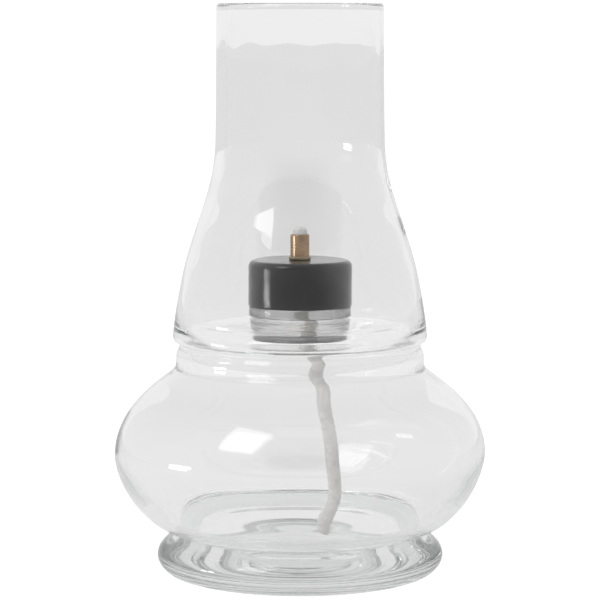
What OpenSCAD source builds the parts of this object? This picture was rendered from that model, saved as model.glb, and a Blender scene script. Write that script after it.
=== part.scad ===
// Glass oil lamp: a clear glass reservoir with a squashed-globe bowl, a flared
// glass chimney standing on its ledge, and a small push-on burner with a wick.
// Millimetres, +Z up, origin at the centre of the underside.

/* [Glass reservoir] */
// Widest diameter of the bowl
bowl_d = 133.2; // [128:0.2:136]
// Height of the widest part of the bowl above the table
bowl_z = 43; // [41:0.5:45]
// Outer diameter of the collar above the bowl
collar_d = 89.2; // [88.6:0.2:90]
// Widest diameter of the foot
foot_d = 103.2; // [100:0.2:106]
// Glass thickness at the widest part of the bowl
bowl_wall = 2.6; // [2.2:0.1:3.4]
// Height of the floor inside the bowl at the middle
floor_z = 10.2; // [9.4:0.2:10.6]
// Rise of the hollow under the foot
punt_h = 3.6; // [2:0.2:3.8]

/* [Neck] */
// Outer diameter of the ground neck that the burner pushes on to
neck_d = 30; // [29.6:0.1:30.2]
// Bore of the neck
neck_bore_d = 24.4; // [24:0.1:25.2]
// Height of the neck's top rim
neck_top = 106.5; // [106.5:0.5:106.5]

/* [Chimney] */
// Height of the chimney's top rim above the table
lamp_h = 205; // [195:1:215]
// Outer diameter of the chimney at its top
chimney_top_d = 59.8; // [58:0.2:62]
// Outer diameter of the chimney at its bottom bead
chimney_foot_d = 91.4; // [91:0.2:92.4]
// Glass thickness of the chimney
chimney_wall = 2.4; // [2:0.1:2.8]

/* [Burner] */
// Outer diameter of the cap
cap_d = 37.4; // [36.8:0.2:39]
// Height of the cap
cap_h = 16.5; // [16.5:0.1:17.5]
// Radius of the cap's rounded top edge
cap_round = 2.2; // [1:0.2:2.4]
// Outer diameter of the wick tube
tube_d = 6.6; // [6.4:0.1:7]
// Bore of the wick tube
tube_bore_d = 5.5; // [5.4:0.1:5.7]
// How far the wick tube stands above the cap
tube_h = 9; // [6:0.5:12]
// Diameter of the vent hole behind the tube
vent_d = 1.2; // [0.8:0.1:1.6]

/* [Wick] */
// Diameter of the wick
wick_d = 5.2; // [4.4:0.1:5.2]
// How far the wick shows above the tube
wick_show = 3; // [1:0.5:5]

/* [Hidden] */
$fn = 96;

// running clearance of the round fits
fit = 0.05;
// radii
bowl_r = bowl_d / 2;
collar_r = collar_d / 2;
foot_r = foot_d / 2;
neck_r = neck_d / 2;
bore_r = neck_bore_d / 2;
cap_r = cap_d / 2;
tube_r = tube_d / 2;
chim_r = chimney_foot_d / 2;
top_r = chimney_top_d / 2;
// the ledge that the chimney stands on
ledge_z = 84.2;
// burner stack, from the neck's rim upwards
cap_z0 = 96.9;
cap_z1 = cap_z0 + cap_h;
// gap between the neck's rim and the insert above it
rim_gap = 0.4;
// the seal's foot, which shows under the cap
seal_foot_h = 3.6;
// boss under the insert that the washer bears on
boss_r = 7.4;
insert_z1 = cap_z1 - 2.2;
plug_z0 = neck_top - 2;
washer_h = 0.8;
nut_h = 2.5;
nut_af = 11;
tube_z0 = plug_z0 - washer_h - nut_h - 0.5;
tube_z1 = cap_z1 + tube_h;
seal_r = neck_r + 1.6;

// A smooth curve through hand-set points, with n steps between neighbours.
function cr_pt(a, b, c, d, t) =
    0.5 * (2 * b + (c - a) * t + (2 * a - 5 * b + 4 * c - d) * t * t
           + (3 * b - a - 3 * c + d) * t * t * t);
function curve(p, n = 2) =
    let (m = len(p) - 1,
         q = concat([2 * p[0] - p[1]], p, [2 * p[m] - p[m - 1]]))
    concat([for (i = [0 : m - 1]) for (k = [0 : n - 1])
                cr_pt(q[i], q[i + 1], q[i + 2], q[i + 3], k / n)], [p[m]]);
// Points on an arc in the radius-height plane.
function arc(c, r, a0, a1, n = 6) =
    [for (k = [0 : n]) c + r * [cos(a0 + (a1 - a0) * k / n), sin(a0 + (a1 - a0) * k / n)]];

// Bowl points: k is how far the wall swells from the collar (0) to the widest ring (1).
function swell(r0, r1, k) = r0 + (r1 - r0) * k;

foot_out = curve([
    [foot_r - 7.4, 0], [foot_r - 3.8, 1.3], [foot_r - 1, 4], [foot_r, 7],
    [foot_r - 0.9, 10.2], [foot_r - 3.4, 12.9], [foot_r - 6.4, 14.7], [foot_r - 8.2, 15.8]]);

bowl_out = curve([
    [foot_r - 8.2, 15.8], [foot_r - 5.6, 16.2],
    [swell(collar_r, bowl_r, 0.23), bowl_z - 25.6],
    [swell(collar_r, bowl_r, 0.455), bowl_z - 22.2],
    [swell(collar_r, bowl_r, 0.71), bowl_z - 16],
    [swell(collar_r, bowl_r, 0.91), bowl_z - 8],
    [bowl_r, bowl_z],
    [swell(collar_r, bowl_r, 0.955), bowl_z + 8],
    [swell(collar_r, bowl_r, 0.81), bowl_z + 15],
    [swell(collar_r, bowl_r, 0.585), bowl_z + 21.2],
    [swell(collar_r, bowl_r, 0.32), 69.4],
    [swell(collar_r, bowl_r, 0.115), 72.8],
    [collar_r + 0.4, 74.8], [collar_r, 77], [collar_r, 79]]);

shoulder_out = curve([
    [collar_r, 79], [collar_r - 0.3, 80.6], [collar_r - 0.7, 81.3],
    [collar_r - 1.1, 81.9], [collar_r - 1.2, 82.6], [collar_r - 1.2, ledge_z]]);

plateau_out = curve([
    [41.6, ledge_z], [41.4, 84.9], [41.1, 86.6], [40.2, 88.1], [38.4, 89.3], [35.4, 90.1],
    [30, 91], [24, 91.8], [20, 92.3], [17, 92.6], [15.6, 92.75], [neck_r + 0.15, 92.95]]);

neck_lip = concat(
    [[neck_r, 93.2]],
    arc([neck_r - 0.9, neck_top - 0.9], 0.9, 0, 90, 4),
    arc([bore_r + 0.9, neck_top - 0.9], 0.9, 90, 180, 4));

// Inner surface, from the neck bore down to the middle of the floor.
bowl_in_r = bowl_r - bowl_wall;
reservoir_in = curve([
    [bore_r, 97], [bore_r + 0.2, 93], [bore_r + 1.4, 90.8], [17, 89.6], [23, 88.9],
    [30, 88.1], [35, 87.3], [38.2, 86.2], [39.9, 84.4], [40.5, 82], [40.9, 79.6], [41.3, 77],
    [swell(41.4, bowl_in_r, 0.045), 74],
    [swell(41.4, bowl_in_r, 0.155), 71.2],
    [swell(41.4, bowl_in_r, 0.36), 67.4],
    [swell(41.4, bowl_in_r, 0.61), bowl_z + 19.6],
    [swell(41.4, bowl_in_r, 0.82), bowl_z + 14],
    [swell(41.4, bowl_in_r, 0.96), bowl_z + 7.4],
    [bowl_in_r, bowl_z],
    [swell(41.4, bowl_in_r, 0.9), bowl_z - 7],
    [swell(41.4, bowl_in_r, 0.705), bowl_z - 14],
    [swell(41.4, bowl_in_r, 0.47), 23.1],
    [46.5, 19.5], [41, 17], [35, 14.8], [28, 12.8],
    [20, floor_z + 1.1], [10, floor_z + 0.2], [0, floor_z]]);

underside = curve([
    [0, punt_h], [14, punt_h - 0.1], [26, punt_h - 0.8], [35, 1.4], [39.5, 0.4], [41.6, 0]]);

module glass_reservoir() {
    color([0.86, 0.89, 0.9, 0.45])
    rotate_extrude()
        polygon(concat(foot_out, slice(bowl_out, 1), slice(shoulder_out, 1),
                       plateau_out, neck_lip, reservoir_in, slice(underside, 0)));
}

// Points of a list from index i on.
function slice(p, i) = [for (k = [i : len(p) - 1]) p[k]];

// Straight part and rim of the chimney move with the lamp's height.
function lift(z) = z + (lamp_h - 205) * max(0, min(1, (z - 84.2) / 120.8));

// The rim is rounded on both sides with this radius.
rim_r = 0.9;
chimney_out = concat(curve([
    [chim_r - 1.3, ledge_z], [chim_r - 0.3, 84.7], [chim_r, 85.9], [chim_r - 0.2, 88.4],
    [chim_r - 0.6, lift(92)], [chim_r - 1.3, lift(96.6)], [chim_r - 2.3, lift(102.6)],
    [chim_r - 3.8, lift(110)], [chim_r - 6, lift(118)], [chim_r - 8.6, lift(126)],
    [top_r + 4.2, lift(135)], [top_r + 1.8, lift(144)], [top_r + 0.7, lift(152)],
    [top_r + 0.4, lift(160)], [top_r + 0.2, lift(174)], [top_r + 0.1, lift(190)],
    [top_r, lamp_h - rim_r]]),
    slice(arc([top_r - rim_r, lamp_h - rim_r], rim_r, 0, 90, 5), 1));
chimney_in = concat(
    arc([top_r - chimney_wall + rim_r, lamp_h - rim_r], rim_r, 90, 180, 5),
    slice(curve([
    [top_r - chimney_wall, lamp_h - rim_r], [top_r + 0.1 - chimney_wall, lift(190)],
    [top_r + 0.2 - chimney_wall, lift(174)], [top_r + 0.4 - chimney_wall, lift(160)],
    [top_r + 0.7 - chimney_wall, lift(152)], [top_r + 1.8 - chimney_wall, lift(144)],
    [top_r + 4.1 - chimney_wall, lift(134.6)], [chim_r - 8.6 - chimney_wall, lift(125.4)],
    [chim_r - 6.1 - chimney_wall, lift(117.4)], [chim_r - 3.9 - chimney_wall, lift(109.6)],
    [chim_r - 2.4 - chimney_wall, lift(102.4)], [chim_r - 1.4 - chimney_wall, lift(96.6)],
    [chim_r - 0.8 - chimney_wall, lift(92)], [chim_r - 3.2, 88.4], [chim_r - 3.6, 86.2],
    [chim_r - 3.6, 85], [chim_r - 3.1, ledge_z]]), 1));

module glass_chimney() {
    color([0.9, 0.92, 0.93, 0.35])
    rotate_extrude()
        polygon(concat(chimney_out, chimney_in));
}

module cap_shell() {
    color([0.16, 0.15, 0.15])
    difference() {
        rotate_extrude()
            polygon(concat(
                [[0, cap_z0], [cap_r - 0.7, cap_z0], [cap_r - 0.2, cap_z0 + 0.3],
                 [cap_r, cap_z0 + 0.9]],
                arc([cap_r - cap_round, cap_z1 - cap_round], cap_round, 0, 90, 8),
                [[0, cap_z1]]));
        translate([0, 0, cap_z0 - 1]) cylinder(r = seal_r + fit, h = insert_z1 - cap_z0 + 1);
        translate([0, 0, cap_z0]) cylinder(r = tube_r + fit, h = cap_h + 1);
        translate([0, 8.4, cap_z0]) cylinder(d = vent_d, h = cap_h + 1, $fn = 24);
    }
}

// Insert: a flange that fills the cap and covers the neck's rim, with a boss that reaches into the neck.
module cap_insert() {
    color([0.86, 0.86, 0.84])
    difference() {
        union() {
            translate([0, 0, neck_top + rim_gap])
                cylinder(r = seal_r, h = insert_z1 - neck_top - rim_gap);
            translate([0, 0, plug_z0]) cylinder(r = boss_r, h = insert_z1 - plug_z0 - 1);
        }
        translate([0, 0, plug_z0 - 1]) cylinder(r = tube_r + fit, h = insert_z1 - plug_z0 + 2);
        translate([0, 8.4, plug_z0 - 1]) cylinder(d = vent_d, h = insert_z1 - plug_z0 + 2, $fn = 24);
    }
}

// Translucent silicone seal: a sleeve that grips the neck, on a wider foot that the cap rests on.
module seal_ring() {
    color([0.62, 0.62, 0.61])
    difference() {
        union() {
            translate([0, 0, cap_z0 - fit - seal_foot_h]) cylinder(r = cap_r - 0.3, h = seal_foot_h);
            translate([0, 0, cap_z0 - 1]) cylinder(r = seal_r, h = neck_top + rim_gap - 0.1 - cap_z0 + 1);
        }
        translate([0, 0, cap_z0 - 6]) cylinder(r = neck_r + fit, h = cap_h + 6);
    }
}

module wick_tube() {
    color([0.72, 0.5, 0.32])
    difference() {
        rotate_extrude()
            polygon([[0, tube_z0], [tube_r - 0.2, tube_z0], [tube_r, tube_z0 + 0.2],
                     [tube_r, tube_z1 - 0.35], [tube_r - 0.1, tube_z1 - 0.12],
                     [tube_r - 0.3, tube_z1], [0, tube_z1]]);
        translate([0, 0, tube_z0 - 1]) cylinder(d = tube_bore_d, h = tube_z1 - tube_z0 + 2);
    }
}

module tube_collar() {
    color([0.38, 0.33, 0.24])
    difference() {
        rotate_extrude()
            polygon([[0, cap_z1], [tube_r + 0.35, cap_z1], [tube_r + 0.45, cap_z1 + 0.2],
                     [tube_r + 0.45, cap_z1 + 0.8], [tube_r + 0.25, cap_z1 + 1.1],
                     [0, cap_z1 + 1.1]]);
        translate([0, 0, cap_z1 - 1]) cylinder(r = tube_r, h = 4);
    }
}

module washer() {
    color([0.75, 0.75, 0.76])
    translate([0, 0, plug_z0 - washer_h])
    difference() {
        cylinder(r = 6.8, h = washer_h);
        translate([0, 0, -1]) cylinder(r = tube_r + fit, h = 4);
    }
}

module tube_nut() {
    color([0.78, 0.62, 0.36])
    translate([0, 0, plug_z0 - washer_h - nut_h])
    difference() {
        cylinder(d = nut_af / cos(30), h = nut_h, $fn = 6);
        translate([0, 0, -1]) cylinder(r = tube_r, h = nut_h + 2);
    }
}

// Route of the wick's centre line: straight in the tube, then down into the bowl.
wick_route = curve([
    [0, 0, tube_z1 + wick_show], [0, 0, 118], [0, 0, 110], [0, 0, 103],
    [0.2, 0, 96.5], [1.6, -0.2, 91], [4, -0.4, 85.6], [5.6, -0.8, 77],
    [7.4, -1.4, 67], [9.6, -2, 58], [11.3, -2.6, 49], [12.1, -3, 39.5],
    [12.7, -3, 31.4], [12.7, -2.6, 24.6], [11, -2, 18.8], [7.8, -1.2, 13.4]]);
wick_sides = 10;

function unit(v) = v / norm(v);
function tangent(p, i) =
    unit(p[min(i + 1, len(p) - 1)] - p[max(i - 1, 0)]);
function ring(c, t, r, n) =
    let (u = unit(cross([0, 1, 0], t)), v = cross(t, u))
    [for (k = [0 : n - 1]) c + r * (cos(360 * k / n) * u + sin(360 * k / n) * v)];

module tube_sweep(p, r, n) {
    m = len(p);
    pts = [for (i = [0 : m - 1]) each ring(p[i], tangent(p, i), r, n)];
    sides = [for (i = [0 : m - 2]) for (k = [0 : n - 1])
        [i * n + k, i * n + (k + 1) % n, (i + 1) * n + (k + 1) % n, (i + 1) * n + k]];
    first = [for (k = [n - 1 : -1 : 0]) k];
    last = [for (k = [0 : n - 1]) (m - 1) * n + k];
    polyhedron(points = pts, faces = concat(sides, [first, last]), convexity = 6);
}

module wick() {
    color([0.85, 0.84, 0.82])
    tube_sweep(wick_route, wick_d / 2, wick_sides);
}

glass_reservoir();
glass_chimney();
cap_shell();
cap_insert();
seal_ring();
wick_tube();
tube_collar();
washer();
tube_nut();
wick();
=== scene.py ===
import math
import random

import bmesh
import bpy
import numpy as np
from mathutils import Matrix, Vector


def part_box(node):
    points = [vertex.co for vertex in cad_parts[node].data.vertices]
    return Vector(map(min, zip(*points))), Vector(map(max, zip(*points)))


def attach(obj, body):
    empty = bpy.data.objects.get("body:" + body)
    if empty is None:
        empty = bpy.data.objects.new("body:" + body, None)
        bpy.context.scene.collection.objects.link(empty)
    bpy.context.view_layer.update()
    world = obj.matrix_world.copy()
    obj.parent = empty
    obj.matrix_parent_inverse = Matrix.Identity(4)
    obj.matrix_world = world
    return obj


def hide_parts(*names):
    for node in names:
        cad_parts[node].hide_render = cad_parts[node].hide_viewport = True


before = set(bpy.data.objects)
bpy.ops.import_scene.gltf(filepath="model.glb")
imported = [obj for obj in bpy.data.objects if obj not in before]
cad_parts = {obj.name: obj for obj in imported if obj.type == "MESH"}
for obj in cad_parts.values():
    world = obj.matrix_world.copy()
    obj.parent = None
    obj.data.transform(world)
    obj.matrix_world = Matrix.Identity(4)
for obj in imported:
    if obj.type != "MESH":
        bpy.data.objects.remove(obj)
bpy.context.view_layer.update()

MM = 0.001
scene = bpy.context.scene
RES = 1.0

# ----------------------------------------------------------------------------- camera
cam_data = bpy.data.cameras.new("camera")
cam_data.lens = 167.9
cam_data.sensor_width = 36.0
cam_data.clip_start = 0.01
cam_data.clip_end = 50.0
camera = bpy.data.objects.new("camera", cam_data)
scene.collection.objects.link(camera)
EYE, AIM = Vector((0.0, -1.0, 0.200)), Vector((0.0, 0.0, 0.09897))
camera.location = EYE
camera.rotation_euler = (AIM - EYE).to_track_quat("-Z", "Y").to_euler()
scene.camera = camera

# ----------------------------------------------------------------------------- sizes from the frame
lo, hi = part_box("glass_reservoir")
BOWL_R = (hi.x - lo.x) / 2 / MM
NECK_TOP = hi.z / MM
lo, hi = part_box("glass_chimney")
LEDGE = lo.z / MM
LAMP_H = hi.z / MM
CHIM_R = (hi.x - lo.x) / 2 / MM
lo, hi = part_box("cap_shell")
CAP_R = (hi.x - lo.x) / 2 / MM
CAP_Z0, CAP_Z1 = lo.z / MM, hi.z / MM
lo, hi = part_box("wick_tube")
TUBE_Z0, TUBE_Z1 = lo.z / MM, hi.z / MM
TUBE_R = (hi.x - lo.x) / 2 / MM
lo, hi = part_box("wick")
WICK_TOP = hi.z / MM


# ----------------------------------------------------------------------------- mesh helpers
def curve(points, n=10):
    p = [np.array(q, float) for q in points]
    q = [2 * p[0] - p[1]] + p + [2 * p[-1] - p[-2]]
    out = []
    for i in range(len(p) - 1):
        a, b, c, d = q[i : i + 4]
        for k in range(n):
            t = k / n
            out.append(0.5 * (2 * b + (c - a) * t + (2 * a - 5 * b + 4 * c - d) * t * t
                              + (3 * b - a - 3 * c + d) * t ** 3))
    out.append(p[-1])
    return np.array(out)


def arc(c, r, a0, a1, n=8):
    a = np.radians(np.linspace(a0, a1, n + 1))
    return np.stack([c[0] + r * np.cos(a), c[1] + r * np.sin(a)], 1)


def even(points, step, closed=False):
    """The same line with a point every step, all along its length."""
    p = np.asarray(points, float)
    if closed:
        p = np.vstack([p, p[:1]])
    keep = np.concatenate([[True], np.linalg.norm(np.diff(p, axis=0), axis=1) > 1e-6])
    p = p[keep]
    s = np.concatenate([[0], np.cumsum(np.linalg.norm(np.diff(p, axis=0), axis=1))])
    n = max(8, int(round(s[-1] / step)))
    t = np.linspace(0, s[-1], n + 1)
    out = np.stack([np.interp(t, s, p[:, k]) for k in range(p.shape[1])], 1)
    return out[:-1] if closed else out


def relax(points, passes, closed=False):
    p = np.asarray(points, float).copy()
    for _ in range(passes):
        if closed:
            p = 0.5 * p + 0.25 * (np.roll(p, 1, 0) + np.roll(p, -1, 0))
        else:
            p[1:-1] = 0.5 * p[1:-1] + 0.25 * (p[:-2] + p[2:])
    return p


def new_object(name, verts, faces, smooth=True):
    mesh = bpy.data.meshes.new(name)
    mesh.from_pydata([tuple(v) for v in verts], [], faces)
    mesh.validate()
    mesh.update()
    obj = bpy.data.objects.new(name, mesh)
    scene.collection.objects.link(obj)
    if smooth:
        mesh.shade_smooth()
    return obj


def fix_normals(obj):
    bm = bmesh.new()
    bm.from_mesh(obj.data)
    bmesh.ops.recalc_face_normals(bm, faces=bm.faces)
    bm.to_mesh(obj.data)
    bm.free()


def lathe(name, profile, seg, shape=None, closed=False):
    """Turns a (radius, height) line in mm. shape(x, y, z, index) moves the points. Points at radius 0 become poles."""
    profile = np.asarray(profile, float)
    n = len(profile)
    ang = np.linspace(0, 2 * np.pi, seg, endpoint=False)
    verts, rows = [], []
    for i, (r, z) in enumerate(profile):
        if r < 1e-6:
            pts = np.array([[0.0, 0.0, z]])
        else:
            pts = np.stack([r * np.cos(ang), r * np.sin(ang), np.full(seg, z)], 1)
        if shape is not None:
            pts = shape(pts, i)
        rows.append(list(range(len(verts), len(verts) + len(pts))))
        verts += list(pts * MM)
    faces = []
    last = n if closed else n - 1
    for i in range(last):
        a, b = rows[i], rows[(i + 1) % n]
        for k in range(seg):
            k2 = (k + 1) % seg
            if len(a) == 1 and len(b) == 1:
                continue
            if len(a) == 1:
                faces.append((a[0], b[k2], b[k]))
            elif len(b) == 1:
                faces.append((a[k], a[k2], b[0]))
            else:
                faces.append((a[k], a[k2], b[k2], b[k]))
    obj = new_object(name, verts, faces)
    fix_normals(obj)
    return obj


def sharpen(obj, degrees=35):
    bm = bmesh.new()
    bm.from_mesh(obj.data)
    for e in bm.edges:
        if len(e.link_faces) == 2 and e.calc_face_angle(0) > math.radians(degrees):
            e.smooth = False
    bm.to_mesh(obj.data)
    bm.free()


def apply_all(obj):
    dg = bpy.context.evaluated_depsgraph_get()
    mesh = bpy.data.meshes.new_from_object(obj.evaluated_get(dg))
    old = obj.data
    obj.modifiers.clear()
    obj.data = mesh
    bpy.data.meshes.remove(old)


# ----------------------------------------------------------------------------- material helpers
def material(name):
    m = bpy.data.materials.new(name)
    m.use_nodes = True
    nt = m.node_tree
    nt.nodes.clear()
    out = nt.nodes.new("ShaderNodeOutputMaterial")
    return m, nt, out


def node(nt, kind, **values):
    n = nt.nodes.new(kind)
    for k, v in values.items():
        if k in n.inputs:
            n.inputs[k].default_value = v
        else:
            setattr(n, k, v)
    return n


def ramp(nt, source, stops):
    r = nt.nodes.new("ShaderNodeValToRGB")
    e = r.color_ramp.elements
    while len(e) > 1:
        e.remove(e[-1])
    e[0].position, e[0].color = stops[0][0], stops[0][1]
    for pos, col in stops[1:]:
        k = e.new(pos)
        k.color = col
    nt.links.new(source, r.inputs["Fac"])
    return r


def grey(v):
    return (v, v, v, 1.0)


def glass_material(name, tint, density, absorb, wave_scale, wave_height):
    m, nt, out = material(name)
    p = node(nt, "ShaderNodeBsdfPrincipled")
    p.inputs["Base Color"].default_value = tint
    p.inputs["Transmission Weight"].default_value = 1.0
    p.inputs["IOR"].default_value = 1.5
    coord = node(nt, "ShaderNodeTexCoord")
    stretch = node(nt, "ShaderNodeMapping")
    stretch.inputs["Scale"].default_value = (1.0, 1.0, 0.35)
    nt.links.new(coord.outputs["Object"], stretch.inputs["Vector"])
    waves = node(nt, "ShaderNodeTexNoise", Scale=wave_scale, Detail=1.5, Roughness=0.4)
    nt.links.new(stretch.outputs[0], waves.inputs["Vector"])
    bump = node(nt, "ShaderNodeBump", Strength=1.0, Distance=wave_height)
    nt.links.new(waves.outputs["Fac"], bump.inputs["Height"])
    nt.links.new(bump.outputs[0], p.inputs["Normal"])
    film = node(nt, "ShaderNodeTexNoise", Scale=38.0, Detail=4.0, Roughness=0.6)
    nt.links.new(coord.outputs["Object"], film.inputs["Vector"])
    rough = node(nt, "ShaderNodeMapRange")
    rough.inputs["From Min"].default_value = 0.45
    rough.inputs["From Max"].default_value = 0.75
    rough.inputs["To Min"].default_value = 0.0
    rough.inputs["To Max"].default_value = 0.02
    nt.links.new(film.outputs["Fac"], rough.inputs["Value"])
    nt.links.new(rough.outputs[0], p.inputs["Roughness"])
    path = node(nt, "ShaderNodeLightPath")
    clear = node(nt, "ShaderNodeBsdfTransparent", Color=(0.95, 0.955, 0.955, 1))
    soft = node(nt, "ShaderNodeMixShader")
    nt.links.new(path.outputs["Is Diffuse Ray"], soft.inputs[0])
    nt.links.new(p.outputs[0], soft.inputs[1])
    nt.links.new(clear.outputs[0], soft.inputs[2])
    mix = node(nt, "ShaderNodeMixShader")
    nt.links.new(path.outputs["Is Shadow Ray"], mix.inputs[0])
    nt.links.new(soft.outputs[0], mix.inputs[1])
    nt.links.new(clear.outputs[0], mix.inputs[2])
    nt.links.new(mix.outputs[0], out.inputs["Surface"])
    vol = node(nt, "ShaderNodeVolumeAbsorption", Color=absorb, Density=density)
    nt.links.new(vol.outputs[0], out.inputs["Volume"])
    return m


def set_material(obj, mat):
    obj.data.materials.clear()
    obj.data.materials.append(mat)


# ----------------------------------------------------------------------------- glass reservoir
def swell(r0, r1, k):
    return r0 + (r1 - r0) * k


COLLAR_R, FOOT_R, BOWL_Z = 44.6, 51.6, 43.0
NECK_R, BORE_R = 15.0, 12.2
FLOOR_Z, PUNT = 10.2, 3.6
foot_out = curve([
    [FOOT_R - 7.4, 0], [FOOT_R - 3.8, 1.3], [FOOT_R - 1, 4], [FOOT_R, 7],
    [FOOT_R - 0.9, 10.2], [FOOT_R - 3.4, 12.9], [FOOT_R - 6.4, 14.7], [FOOT_R - 8.2, 15.8]])
bowl_out = curve([
    [FOOT_R - 8.2, 15.8], [FOOT_R - 5.6, 16.2],
    [swell(COLLAR_R, BOWL_R, 0.23), BOWL_Z - 25.6],
    [swell(COLLAR_R, BOWL_R, 0.455), BOWL_Z - 22.2],
    [swell(COLLAR_R, BOWL_R, 0.71), BOWL_Z - 16],
    [swell(COLLAR_R, BOWL_R, 0.91), BOWL_Z - 8],
    [BOWL_R, BOWL_Z],
    [swell(COLLAR_R, BOWL_R, 0.955), BOWL_Z + 8],
    [swell(COLLAR_R, BOWL_R, 0.81), BOWL_Z + 15],
    [swell(COLLAR_R, BOWL_R, 0.585), BOWL_Z + 21.2],
    [swell(COLLAR_R, BOWL_R, 0.32), 69.4],
    [swell(COLLAR_R, BOWL_R, 0.115), 72.8],
    [COLLAR_R + 0.4, 74.8], [COLLAR_R, 77], [COLLAR_R, 79]])
shoulder_out = curve([
    [COLLAR_R, 79], [COLLAR_R - 0.3, 80.6], [COLLAR_R - 0.7, 81.3],
    [COLLAR_R - 1.1, 81.9], [COLLAR_R - 1.2, 82.6], [COLLAR_R - 1.2, LEDGE]])
plateau_out = curve([
    [41.6, LEDGE], [41.4, 84.9], [41.1, 86.6], [40.2, 88.1], [38.4, 89.3], [35.4, 90.1],
    [30, 91], [24, 91.8], [20, 92.3], [17, 92.6], [15.6, 92.75], [NECK_R + 0.15, 92.95]])
neck_lip = np.vstack([
    [[NECK_R, 93.2]],
    arc([NECK_R - 0.9, NECK_TOP - 0.9], 0.9, 0, 90),
    arc([BORE_R + 0.9, NECK_TOP - 0.9], 0.9, 90, 180)])
BIN = BOWL_R - 2.6
reservoir_in = curve([
    [BORE_R, 97], [BORE_R + 0.2, 93], [BORE_R + 1.4, 90.8], [17, 89.6], [23, 88.9],
    [30, 88.1], [35, 87.3], [38.2, 86.2], [39.9, 84.4], [40.5, 82], [40.9, 79.6], [41.3, 77],
    [swell(41.4, BIN, 0.045), 74], [swell(41.4, BIN, 0.155), 71.2],
    [swell(41.4, BIN, 0.36), 67.4], [swell(41.4, BIN, 0.61), BOWL_Z + 19.6],
    [swell(41.4, BIN, 0.82), BOWL_Z + 14], [swell(41.4, BIN, 0.96), BOWL_Z + 7.4],
    [BIN, BOWL_Z],
    [swell(41.4, BIN, 0.9), BOWL_Z - 7], [swell(41.4, BIN, 0.705), BOWL_Z - 14],
    [swell(41.4, BIN, 0.47), 23.1], [46.5, 19.5], [41, 17], [35, 14.8], [28, 12.8],
    [20, FLOOR_Z + 1.1], [10, FLOOR_Z + 0.2], [0, FLOOR_Z]])
underside = curve([
    [0, PUNT], [14, PUNT - 0.1], [26, PUNT - 0.8], [35, 1.4], [39.5, 0.4], [41.6, 0]])

STEP = 0.62 / RES
SEG = int(256 * RES)
outer = np.vstack([underside, foot_out, bowl_out[1:], shoulder_out[1:], plateau_out, neck_lip])
outer_line = relax(even(outer, STEP), 2)
inner_line = relax(even(np.vstack([neck_lip[-1:], reservoir_in]), STEP), 4)
outer_line[:, 1] = np.maximum(outer_line[:, 1], 0.0)
line = np.vstack([outer_line, inner_line[1:]])
SPLIT = len(outer_line)


def bell(z, a, b):
    t = np.clip((z - a) / (b - a), 0, 1)
    return np.sin(np.pi * t) ** 2


def blown(pts, i):
    """Small unevenness of free-blown glass: the bowl sits a little askew and the wall thickness wanders."""
    x, y, z = pts[:, 0].copy(), pts[:, 1].copy(), pts[:, 2].copy()
    r = np.hypot(x, y)
    th = np.arctan2(y, x)
    body = bell(z, 15, 76)
    dz = 0.6 * body * x / 66.0
    dr = body * (0.16 * np.cos(2 * th + 0.7) + 0.09 * np.cos(3 * th + 2.1 + 0.02 * z))
    if i >= SPLIT:
        w = bell(z, 12, 104)
        dr += w * (0.10 * np.cos(5 * th + 0.05 * z) + 0.08 * np.cos(2 * th - 0.9)
                   + 0.04 * np.cos(9 * th + 0.11 * z + 1.0))
        low = np.clip((20 - z) / 8, 0, 1) * np.clip(r / 30, 0, 1)
        dz = dz + low * 0.08 * np.cos(2 * th + 0.8)
    else:
        under = np.clip((6 - z) / 6, 0, 1) * np.clip((40 - r) / 12, 0, 1)
        dz = dz + under * 0.08 * np.cos(2 * th + 0.4)
    k = np.where(r > 1e-6, (r + dr) / np.maximum(r, 1e-6), 1.0)
    return np.stack([x * k, y * k, np.maximum(z + dz, 0.0)], 1)


reservoir = lathe("reservoir_glass", line, SEG, blown)
set_material(reservoir, glass_material("clear_glass_reservoir", (0.995, 0.995, 0.995, 1), 11.5, (0.79, 0.80, 0.795, 1), 26.0, 0.00008))
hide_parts("glass_reservoir")
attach(reservoir, "reservoir")

# ----------------------------------------------------------------------------- glass chimney
TOP_R, WALL, RIM = 29.9, 2.4, 0.9
chimney_out = np.vstack([curve([
    [CHIM_R - 1.3, LEDGE], [CHIM_R - 0.3, 84.7], [CHIM_R, 85.9], [CHIM_R - 0.2, 88.4],
    [CHIM_R - 0.6, 92], [CHIM_R - 1.3, 96.6], [CHIM_R - 2.3, 102.6],
    [CHIM_R - 3.8, 110], [CHIM_R - 6, 118], [CHIM_R - 8.6, 126],
    [TOP_R + 4.2, 135], [TOP_R + 1.8, 144], [TOP_R + 0.7, 152],
    [TOP_R + 0.4, 160], [TOP_R + 0.2, 174], [TOP_R + 0.1, 190], [TOP_R, LAMP_H - RIM]]),
    arc([TOP_R - RIM, LAMP_H - RIM], RIM, 0, 90)[1:]])
chimney_in = np.vstack([
    arc([TOP_R - WALL + RIM, LAMP_H - RIM], RIM, 90, 180),
    curve([
    [TOP_R - WALL, LAMP_H - RIM], [TOP_R + 0.1 - WALL, 190], [TOP_R + 0.2 - WALL, 174],
    [TOP_R + 0.4 - WALL, 160], [TOP_R + 0.7 - WALL, 152], [TOP_R + 1.8 - WALL, 144],
    [TOP_R + 4.1 - WALL, 134.6], [CHIM_R - 8.6 - WALL, 125.4], [CHIM_R - 6.1 - WALL, 117.4],
    [CHIM_R - 3.9 - WALL, 109.6], [CHIM_R - 2.4 - WALL, 102.4], [CHIM_R - 1.4 - WALL, 96.6],
    [CHIM_R - 0.8 - WALL, 92], [CHIM_R - 3.2, 88.4], [CHIM_R - 3.6, 86.2],
    [CHIM_R - 3.6, 85], [CHIM_R - 3.1, LEDGE]])[1:]])
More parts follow.
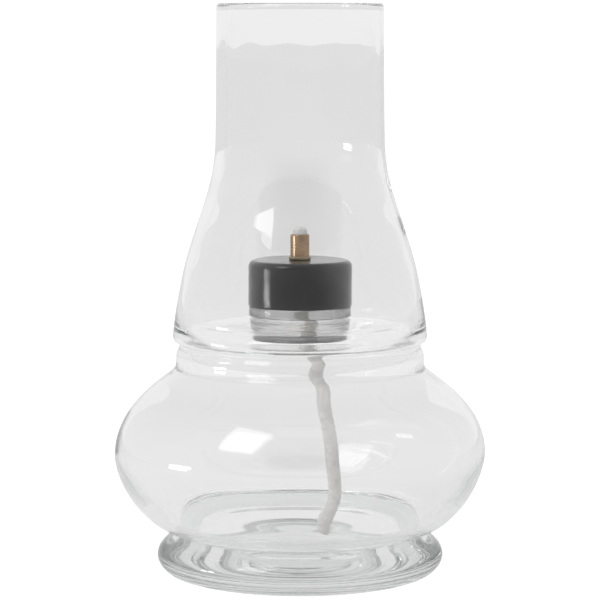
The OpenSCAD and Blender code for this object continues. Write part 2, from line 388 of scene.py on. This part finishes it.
c_out = relax(even(chimney_out, STEP), 2)
c_in = relax(even(chimney_in, STEP), 2)
c_line = np.vstack([c_out, c_in[1:]])
C_SPLIT = len(c_out)


def drawn(pts, i):
    x, y, z = pts[:, 0].copy(), pts[:, 1].copy(), pts[:, 2].copy()
    r = np.hypot(x, y)
    th = np.arctan2(y, x)
    w = np.clip((z - 88) / 20, 0, 1)
    dr = w * (0.10 * np.cos(2 * th + 1.1 + 0.01 * z) + 0.05 * np.cos(3 * th + 0.4))
    if i >= C_SPLIT:
        dr += w * (0.07 * np.cos(4 * th + 0.6 + 0.012 * z) + 0.035 * np.cos(11 * th + 0.02 * z)
                   + 0.05 * np.cos(1 * th + 2.0))
    k = (r + dr) / r
    return np.stack([x * k, y * k, z], 1)


chimney = lathe("chimney_glass", c_line, SEG, drawn, closed=True)
set_material(chimney, glass_material("clear_glass_chimney", (0.995, 0.995, 0.995, 1), 9.0, (0.79, 0.80, 0.795, 1), 22.0, 0.00006))
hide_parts("glass_chimney")
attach(chimney, "chimney")

# ----------------------------------------------------------------------------- burner
def plastic_material(name, colour, rough_lo, rough_hi, grain, grain_height, speck=0.0):
    m, nt, out = material(name)
    p = node(nt, "ShaderNodeBsdfPrincipled")
    coord = node(nt, "ShaderNodeTexCoord")
    n1 = node(nt, "ShaderNodeTexNoise", Scale=60.0, Detail=5.0, Roughness=0.6)
    nt.links.new(coord.outputs["Object"], n1.inputs["Vector"])
    c = ramp(nt, n1.outputs["Fac"], [(0.3, tuple(v * 0.9 for v in colour) + (1,)), (0.7, tuple(v * 1.12 for v in colour) + (1,))])
    nt.links.new(c.outputs[0], p.inputs["Base Color"])
    r = node(nt, "ShaderNodeMapRange")
    r.inputs["From Min"].default_value, r.inputs["From Max"].default_value = 0.3, 0.7
    r.inputs["To Min"].default_value, r.inputs["To Max"].default_value = rough_lo, rough_hi
    nt.links.new(n1.outputs["Fac"], r.inputs["Value"])
    nt.links.new(r.outputs[0], p.inputs["Roughness"])
    n2 = node(nt, "ShaderNodeTexNoise", Scale=grain, Detail=3.0, Roughness=0.5)
    nt.links.new(coord.outputs["Object"], n2.inputs["Vector"])
    b = node(nt, "ShaderNodeBump", Strength=0.6, Distance=grain_height)
    nt.links.new(n2.outputs["Fac"], b.inputs["Height"])
    nt.links.new(b.outputs[0], p.inputs["Normal"])
    nt.links.new(p.outputs[0], out.inputs["Surface"])
    return m, nt, p


def metal_material(name, colour, dark, rough, ring_scale, ring_height):
    m, nt, out = material(name)
    p = node(nt, "ShaderNodeBsdfPrincipled")
    p.inputs["Metallic"].default_value = 1.0
    coord = node(nt, "ShaderNodeTexCoord")
    n1 = node(nt, "ShaderNodeTexNoise", Scale=220.0, Detail=5.0, Roughness=0.65)
    nt.links.new(coord.outputs["Object"], n1.inputs["Vector"])
    c = ramp(nt, n1.outputs["Fac"], [(0.32, dark + (1,)), (0.62, colour + (1,))])
    nt.links.new(c.outputs[0], p.inputs["Base Color"])
    lines = node(nt, "ShaderNodeMapping")
    lines.inputs["Scale"].default_value = (8.0, 8.0, ring_scale)
    nt.links.new(coord.outputs["Object"], lines.inputs["Vector"])
    n2 = node(nt, "ShaderNodeTexNoise", Scale=1.0, Detail=3.0, Roughness=0.6)
    nt.links.new(lines.outputs[0], n2.inputs["Vector"])
    r = node(nt, "ShaderNodeMapRange")
    r.inputs["From Min"].default_value, r.inputs["From Max"].default_value = 0.3, 0.7
    r.inputs["To Min"].default_value, r.inputs["To Max"].default_value = rough * 0.7, rough * 1.5
    nt.links.new(n2.outputs["Fac"], r.inputs["Value"])
    nt.links.new(r.outputs[0], p.inputs["Roughness"])
    b = node(nt, "ShaderNodeBump", Strength=0.5, Distance=ring_height)
    nt.links.new(n2.outputs["Fac"], b.inputs["Height"])
    nt.links.new(b.outputs[0], p.inputs["Normal"])
    nt.links.new(p.outputs[0], out.inputs["Surface"])
    return m


SEAL_R = NECK_R + 1.6
RIM_GAP, FIT = 0.4, 0.05
SEAL_FOOT, BOSS_R = 3.6, 7.4
INSERT_Z1 = CAP_Z1 - 2.2
PLUG_Z0 = NECK_TOP - 2.0
cap_line = np.vstack([
    [[TUBE_R + 0.06, INSERT_Z1], [TUBE_R + 0.06, CAP_Z1 - 0.15], [TUBE_R + 0.2, CAP_Z1]],
    [[CAP_R - 2.4, CAP_Z1]],
    arc([CAP_R - 2.2, CAP_Z1 - 2.2], 2.2, 90, 0, 24),
    [[CAP_R, CAP_Z0 + 0.9]],
    arc([CAP_R - 0.7, CAP_Z0 + 0.7], 0.7, 0, -90, 8),
    [[SEAL_R + 0.5, CAP_Z0], [SEAL_R + 0.12, CAP_Z0 + 0.3], [SEAL_R + 0.08, CAP_Z0 + 0.8], [SEAL_R + 0.08, INSERT_Z1]]])
cap = lathe("burner_cap", cap_line, int(160 * RES), closed=True)
drill = lathe("drill", [[0, INSERT_Z1 - 1], [0.6, INSERT_Z1 - 1], [0.6, CAP_Z1 + 1], [0, CAP_Z1 + 1]], 24)
drill.location = (0, 8.4 * MM, 0)
cut = cap.modifiers.new("vent", "BOOLEAN")
cut.object, cut.operation, cut.solver = drill, "DIFFERENCE", "EXACT"
bpy.context.view_layer.update()
apply_all(cap)
bpy.data.objects.remove(drill)
cap.data.shade_smooth()
sharpen(cap, 40)
cap_mat, nt, p = plastic_material("gloss_black_cap", (0.006, 0.0057, 0.0058), 0.12, 0.19, 900.0, 0.000003)
p.inputs["Specular IOR Level"].default_value = 0.36
set_material(cap, cap_mat)
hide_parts("cap_shell")
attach(cap, "burner")

# Insert, seal, washer and nut: the CAD shapes with their edges eased.
insert_line = [
    [TUBE_R + 0.05, PLUG_Z0 + 0.2], [TUBE_R + 0.25, PLUG_Z0], [BOSS_R - 0.3, PLUG_Z0],
    [BOSS_R, PLUG_Z0 + 0.3], [BOSS_R, NECK_TOP + RIM_GAP - 0.2], [BOSS_R + 0.15, NECK_TOP + RIM_GAP],
    [SEAL_R - 0.3, NECK_TOP + RIM_GAP], [SEAL_R, NECK_TOP + RIM_GAP + 0.3],
    [SEAL_R, INSERT_Z1 - 0.2], [SEAL_R - 0.2, INSERT_Z1 - 0.02], [TUBE_R + 0.05, INSERT_Z1 - 0.02]]
insert = lathe("burner_insert", insert_line, int(128 * RES), closed=True)
drill = lathe("drill", [[0, PLUG_Z0 - 1], [0.6, PLUG_Z0 - 1], [0.6, INSERT_Z1 + 1], [0, INSERT_Z1 + 1]], 24)
drill.location = (0, 8.4 * MM, 0)
cut = insert.modifiers.new("vent", "BOOLEAN")
cut.object, cut.operation, cut.solver = drill, "DIFFERENCE", "EXACT"
bpy.context.view_layer.update()
apply_all(insert)
bpy.data.objects.remove(drill)
insert.data.shade_smooth()
sharpen(insert)
ins_mat, nt, p = plastic_material("moulded_white_insert", (0.74, 0.74, 0.71), 0.38, 0.5, 1400.0, 0.00001)
set_material(insert, ins_mat)
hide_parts("cap_insert")
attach(insert, "burner")

FOOT_R1, FOOT_Z0, FOOT_Z1 = CAP_R - 0.3, CAP_Z0 - FIT - SEAL_FOOT, CAP_Z0 - FIT
SLEEVE_TOP = NECK_TOP + RIM_GAP - 0.1
seal_line = np.vstack([
    [[NECK_R + 0.3, FOOT_Z0 + 0.02], [FOOT_R1 - 0.5, FOOT_Z0 + 0.02]],
    arc([FOOT_R1 - 0.42, FOOT_Z0 + 0.44], 0.42, -90, 0, 8),
    arc([FOOT_R1 - 0.32, FOOT_Z1 - 0.34], 0.32, 0, 90, 6),
    [[SEAL_R + 0.3, FOOT_Z1 - 0.02], [SEAL_R - 0.03, FOOT_Z1 + 0.3]]])
for k in range(3):
    z = CAP_Z0 + 1.6 + 2.6 * k
    seal_line = np.vstack([seal_line, [[SEAL_R - 0.03, z], [SEAL_R - 0.35, z + 0.35], [SEAL_R - 0.35, z + 1.5],
                                       [SEAL_R - 0.03, z + 1.85]]])
seal_line = np.vstack([seal_line, [[SEAL_R - 0.03, SLEEVE_TOP - 0.3], [SEAL_R - 0.3, SLEEVE_TOP - 0.02],
                                   [NECK_R + 0.35, SLEEVE_TOP - 0.02], [NECK_R + 0.08, SLEEVE_TOP - 0.3],
                                   [NECK_R + 0.08, FOOT_Z0 + 0.3]]])
seal = lathe("seal_sleeve", seal_line, int(192 * RES), closed=True)
sharpen(seal, 50)
m, nt, out = material("silicone_seal")
p = node(nt, "ShaderNodeBsdfPrincipled")
p.inputs["Transmission Weight"].default_value = 1.0
p.inputs["IOR"].default_value = 1.41
p.inputs["Base Color"].default_value = (0.97, 0.97, 0.97, 1)
coord = node(nt, "ShaderNodeTexCoord")
n1 = node(nt, "ShaderNodeTexNoise", Scale=150.0, Detail=4.0)
nt.links.new(coord.outputs["Object"], n1.inputs["Vector"])
r = node(nt, "ShaderNodeMapRange")
r.inputs["To Min"].default_value, r.inputs["To Max"].default_value = 0.10, 0.22
nt.links.new(n1.outputs["Fac"], r.inputs["Value"])
nt.links.new(r.outputs[0], p.inputs["Roughness"])
nt.links.new(p.outputs[0], out.inputs["Surface"])
vol = node(nt, "ShaderNodeVolumeAbsorption", Color=(0.30, 0.30, 0.30, 1), Density=115.0)
nt.links.new(vol.outputs[0], out.inputs["Volume"])
set_material(seal, m)
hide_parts("seal_ring")
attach(seal, "seal")

WASH_Z0 = PLUG_Z0 - 0.8
washer = lathe("burner_washer", np.vstack([
    [[TUBE_R + 0.06, WASH_Z0 + 0.12], [TUBE_R + 0.18, WASH_Z0 + 0.01], [6.65, WASH_Z0 + 0.01], [6.8, WASH_Z0 + 0.16],
     [6.8, PLUG_Z0 - 0.16], [6.65, PLUG_Z0 - 0.02], [TUBE_R + 0.18, PLUG_Z0 - 0.02], [TUBE_R + 0.06, PLUG_Z0 - 0.12]]]), int(96 * RES), closed=True)
sharpen(washer, 50)
set_material(washer, metal_material("zinc_washer", (0.62, 0.62, 0.63), (0.42, 0.42, 0.43), 0.32, 60.0, 0.00001))
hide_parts("washer")
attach(washer, "burner")


def hex_nut(name, z0, z1, af, bore):
    """A turned hex nut: flats, corners eased by a 30 degree chamfer on both faces, countersunk bore."""
    seg = 72
    ang = np.linspace(0, 2 * np.pi, seg, endpoint=False)
    local = (np.degrees(ang) % 60) - 30
    hexr = (af / 2) / np.cos(np.radians(local))
    rmax = af / 2 / math.cos(math.radians(30))
    rows = []
    h = z1 - z0
    def ringed(radius, z):
        return np.stack([radius * np.cos(ang), radius * np.sin(ang), np.full(seg, z)], 1)
    face = af / 2 * 0.97
    def chamfer(r):
        return np.maximum(0.0, (r - face)) * math.tan(math.radians(30))
    rows.append(ringed(np.full(seg, bore + 0.01), z0 + 0.35))
    rows.append(ringed(np.full(seg, bore + 0.4), z0 + 0.01))
    rows.append(ringed(np.full(seg, face), z0 + 0.01))
    for f in (0.34, 0.67, 1.0):
        rr = face + (hexr - face) * f
        rows.append(np.stack([rr * np.cos(ang), rr * np.sin(ang), z0 + 0.01 + chamfer(rr)], 1))
    for f in (1.0, 0.67, 0.34):
        rr = face + (hexr - face) * f
        rows.append(np.stack([rr * np.cos(ang), rr * np.sin(ang), z1 - 0.01 - chamfer(rr)], 1))
    rows.append(ringed(np.full(seg, face), z1 - 0.01))
    rows.append(ringed(np.full(seg, bore + 0.4), z1 - 0.01))
    rows.append(ringed(np.full(seg, bore + 0.01), z1 - 0.35))
    n = len(rows)
    verts = [v * MM for row in rows for v in row]
    faces = []
    for i in range(n):
        j = (i + 1) % n
        for k in range(seg):
            k2 = (k + 1) % seg
            faces.append((i * seg + k, i * seg + k2, j * seg + k2, j * seg + k))
    obj = new_object(name, verts, faces)
    fix_normals(obj)
    sharpen(obj, 22)
    return obj


nut = hex_nut("burner_nut", WASH_Z0 - 2.5, WASH_Z0, 11.0, TUBE_R)
set_material(nut, metal_material("turned_brass_nut", (0.80, 0.60, 0.30), (0.55, 0.38, 0.17), 0.24, 500.0, 0.00002))
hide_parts("tube_nut")
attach(nut, "burner")

tube_line = np.vstack([
    [[2.76, TUBE_Z0 + 0.25], [2.85, TUBE_Z0 + 0.02], [TUBE_R - 0.2, TUBE_Z0 + 0.02], [TUBE_R - 0.02, TUBE_Z0 + 0.22]],
    [[TUBE_R - 0.01, CAP_Z1 + 1.0], [TUBE_R - 0.01, TUBE_Z1 - 0.45]],
    arc([TUBE_R - 0.41, TUBE_Z1 - 0.42], 0.4, 0, 90, 8),
    arc([2.78 + 0.12, TUBE_Z1 - 0.14], 0.12, 90, 180, 5)])
tube = lathe("wick_tube_brass", tube_line, int(96 * RES), closed=True)
sharpen(tube, 60)
tube_mat = metal_material("copper_toned_tube", (0.42, 0.285, 0.18), (0.26, 0.17, 0.10), 0.22, 900.0, 0.000012)
set_material(tube, tube_mat)
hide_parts("wick_tube")
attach(tube, "burner")

collar_line = np.vstack([
    [[TUBE_R + 0.005, CAP_Z1 + 0.01], [TUBE_R + 0.30, CAP_Z1 + 0.01]],
    arc([TUBE_R + 0.2, CAP_Z1 + 0.27], 0.25, -60, 0, 5),
    arc([TUBE_R + 0.2, CAP_Z1 + 0.78], 0.25, 0, 70, 6),
    [[TUBE_R + 0.1, CAP_Z1 + 1.09], [TUBE_R + 0.005, CAP_Z1 + 1.1]]])
collar = lathe("tube_collar_ring", collar_line, int(96 * RES), closed=True)
set_material(collar, metal_material("dark_brass_collar", (0.34, 0.28, 0.17), (0.14, 0.115, 0.07), 0.34, 300.0, 0.00002))
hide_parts("tube_collar")
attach(collar, "burner")

# ----------------------------------------------------------------------------- wick
ROUTE = [
    [0, 0, WICK_TOP], [0, 0, 118], [0, 0, 110], [0, 0, 103],
    [0.2, 0, 96.5], [1.6, -0.2, 91], [4, -0.4, 85.6], [5.6, -0.8, 77],
    [7.4, -1.4, 67], [9.6, -2, 58], [11.3, -2.6, 49], [12.1, -3, 39.5],
    [12.7, -3, 31.4], [12.7, -2.6, 24.6], [11, -2, 18.8], [7.8, -1.2, 13.4]]
WICK_R = 2.6
route = relax(even(curve(ROUTE, 12), 0.30 / RES), 30)
s_len = np.concatenate([[0], np.cumsum(np.linalg.norm(np.diff(route, axis=0), axis=1))])


def braid(s, th):
    """Height of a round braid: 12 yarns one way and 12 the other, passing over and under each other."""
    n, pitch = 6, 15.0
    a = n * th + 2 * np.pi * n * s / pitch
    b = n * th - 2 * np.pi * n * s / pitch
    over = 0.5 + 0.5 * np.sin(a * 0.5 + b * 0.5) * np.sin(a * 0.5 - b * 0.5 + 0.3)
    ha = np.abs(np.cos(a / 2)) ** 0.55 * (0.35 + 0.65 * over)
    hb = np.abs(np.cos(b / 2)) ** 0.55 * (0.35 + 0.65 * (1 - over))
    return np.maximum(ha, hb)


WSEG = int(96 * RES)
th = np.linspace(0, 2 * np.pi, WSEG, endpoint=False)
verts, rng = [], np.random.default_rng(7)
for i, c in enumerate(route):
    t = route[min(i + 1, len(route) - 1)] - route[max(i - 1, 0)]
    t /= np.linalg.norm(t)
    u = np.cross([0, 1, 0], t)
    u /= np.linalg.norm(u)
    v = np.cross(t, u)
    s = s_len[i]
    h = braid(s, th)
    rad = WICK_R - 0.36 + 0.36 * h
    end = min(s, s_len[-1] - s)
    if end < 1.6:
        rad = rad * math.sqrt(max(0.04, 1 - ((1.6 - end) / 1.6) ** 2))
    wob = 0.05 * np.cos(2 * th + 0.15 * s) + 0.03 * np.cos(3 * th - 0.22 * s)
    rad = np.minimum(rad + wob, WICK_R + 0.02)
    verts += [(c + rr * (math.cos(a) * u + math.sin(a) * v)) * MM for rr, a in zip(rad, th)]
n = len(route)
faces = []
for i in range(n - 1):
    for k in range(WSEG):
        k2 = (k + 1) % WSEG
        faces.append((i * WSEG + k, i * WSEG + k2, (i + 1) * WSEG + k2, (i + 1) * WSEG + k))
faces.append(tuple(reversed(range(WSEG))))
faces.append(tuple((n - 1) * WSEG + k for k in range(WSEG)))
wick = new_object("wick_braid", verts, faces)
fix_normals(wick)
m, nt, out = material("glass_fibre_wick")
p = node(nt, "ShaderNodeBsdfPrincipled")
p.inputs["Sheen Weight"].default_value = 0.15
coord = node(nt, "ShaderNodeTexCoord")
n1 = node(nt, "ShaderNodeTexNoise", Scale=420.0, Detail=5.0, Roughness=0.7)
nt.links.new(coord.outputs["Object"], n1.inputs["Vector"])
n3 = node(nt, "ShaderNodeTexNoise", Scale=45.0, Detail=2.0)
nt.links.new(coord.outputs["Object"], n3.inputs["Vector"])
mixf = node(nt, "ShaderNodeMath", operation="ADD")
nt.links.new(n1.outputs["Fac"], mixf.inputs[0])
nt.links.new(n3.outputs["Fac"], mixf.inputs[1])
half = node(nt, "ShaderNodeMath", operation="MULTIPLY")
half.inputs[1].default_value = 0.5
nt.links.new(mixf.outputs[0], half.inputs[0])
c = ramp(nt, half.outputs[0], [(0.35, (0.56, 0.535, 0.52, 1)), (0.62, (0.78, 0.76, 0.75, 1))])
nt.links.new(c.outputs[0], p.inputs["Base Color"])
p.inputs["Roughness"].default_value = 0.8
b = node(nt, "ShaderNodeBump", Strength=0.8, Distance=0.0001)
nt.links.new(n1.outputs["Fac"], b.inputs["Height"])
nt.links.new(b.outputs[0], p.inputs["Normal"])
nt.links.new(p.outputs[0], out.inputs["Surface"])
set_material(wick, m)
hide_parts("wick")
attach(wick, "wick")

# ----------------------------------------------------------------------------- floor, world and lights
mesh = bpy.data.meshes.new("floor")
mesh.from_pydata([(-20, -20, 0), (20, -20, 0), (20, 20, 0), (-20, 20, 0)], [], [(0, 1, 2, 3)])
floor = bpy.data.objects.new("floor", mesh)
floor.location = (0, 0, -0.0001)
scene.collection.objects.link(floor)
m, nt, out = material("pale_floor")
FLOOR_LIFT, FLOOR_WHITE = 0.22, 0.60
d = node(nt, "ShaderNodeBsdfDiffuse", Color=grey(0.62))
path = node(nt, "ShaderNodeLightPath")
lift = node(nt, "ShaderNodeMapRange")
lift.inputs["To Min"].default_value = FLOOR_LIFT
lift.inputs["To Max"].default_value = FLOOR_WHITE
nt.links.new(path.outputs["Is Camera Ray"], lift.inputs["Value"])
e = node(nt, "ShaderNodeEmission", Color=grey(1.0))
nt.links.new(lift.outputs[0], e.inputs["Strength"])
add = node(nt, "ShaderNodeAddShader")
nt.links.new(d.outputs[0], add.inputs[0])
nt.links.new(e.outputs[0], add.inputs[1])
nt.links.new(add.outputs[0], out.inputs["Surface"])
floor.data.materials.append(m)

WALLS, ROOM, ROOM_EDGE = 0.88, 0.22, (-0.97, -0.6)
world = bpy.data.worlds.new("studio")
scene.world = world
world.use_nodes = True
nt = world.node_tree
nt.nodes.clear()
out = nt.nodes.new("ShaderNodeOutputWorld")
coord = node(nt, "ShaderNodeTexCoord")
sep = node(nt, "ShaderNodeSeparateXYZ")
nt.links.new(coord.outputs["Generated"], sep.inputs[0])


def span(source, a, b, lo=0.0, hi=1.0):
    r = node(nt, "ShaderNodeMapRange", interpolation_type="SMOOTHSTEP")
    r.inputs["From Min"].default_value, r.inputs["From Max"].default_value = a, b
    r.inputs["To Min"].default_value, r.inputs["To Max"].default_value = lo, hi
    nt.links.new(source, r.inputs["Value"])
    return r.outputs[0]


def times(x, y):
    k = node(nt, "ShaderNodeMath", operation="MULTIPLY")
    nt.links.new(x, k.inputs[0])
    nt.links.new(y, k.inputs[1])
    return k.outputs[0]


# White all round, with the unlit side of the room behind the camera.
front = span(sep.outputs["Y"], ROOM_EDGE[0], ROOM_EDGE[1], 1.0, 0.0)
above = span(sep.outputs["Z"], 0.07, 0.27)
below = span(sep.outputs["Z"], 0.50, 0.72, 1.0, 0.0)
room = times(times(front, above), below)
c = node(nt, "ShaderNodeMapRange")
c.inputs["To Min"].default_value, c.inputs["To Max"].default_value = WALLS, ROOM
nt.links.new(room, c.inputs["Value"])
bg = node(nt, "ShaderNodeBackground", Color=grey(1.0))
nt.links.new(c.outputs[0], bg.inputs["Strength"])
white = node(nt, "ShaderNodeBackground", Color=grey(1.0), Strength=1.05)
path = node(nt, "ShaderNodeLightPath")
mix = node(nt, "ShaderNodeMixShader")
nt.links.new(path.outputs["Is Camera Ray"], mix.inputs[0])
nt.links.new(bg.outputs[0], mix.inputs[1])
nt.links.new(white.outputs[0], mix.inputs[2])
nt.links.new(mix.outputs[0], out.inputs["Surface"])


def area(name, azimuth, elevation, distance, size, power, target=(0, 0, 0.1)):
    """A soft box. Azimuth 0 is the camera's side (-Y), negative towards -X."""
    a, e = math.radians(azimuth), math.radians(elevation)
    loc = Vector(target) + distance * Vector((math.sin(a) * math.cos(e), -math.cos(a) * math.cos(e), math.sin(e)))
    data = bpy.data.lights.new(name, "AREA")
    data.shape = "RECTANGLE"
    data.size, data.size_y = size
    data.energy = power
    obj = bpy.data.objects.new(name, data)
    obj.location = loc
    obj.rotation_euler = (Vector(target) - loc).to_track_quat("-Z", "Y").to_euler()
    scene.collection.objects.link(obj)
    return obj


area("key", -45, 44, 1.4, (0.55, 0.72), 4.0)
area("strip", -76, -4.6, 0.62, (0.15, 0.05), 0.30)

scene.view_settings.view_transform = "Standard"
scene.view_settings.look = "None"
scene.cycles.max_bounces = 96
scene.cycles.transmission_bounces = 96
scene.cycles.glossy_bounces = 96
scene.cycles.transparent_max_bounces = 48
scene.cycles.use_denoising = True
scene.cycles.sample_clamp_indirect = 6.0
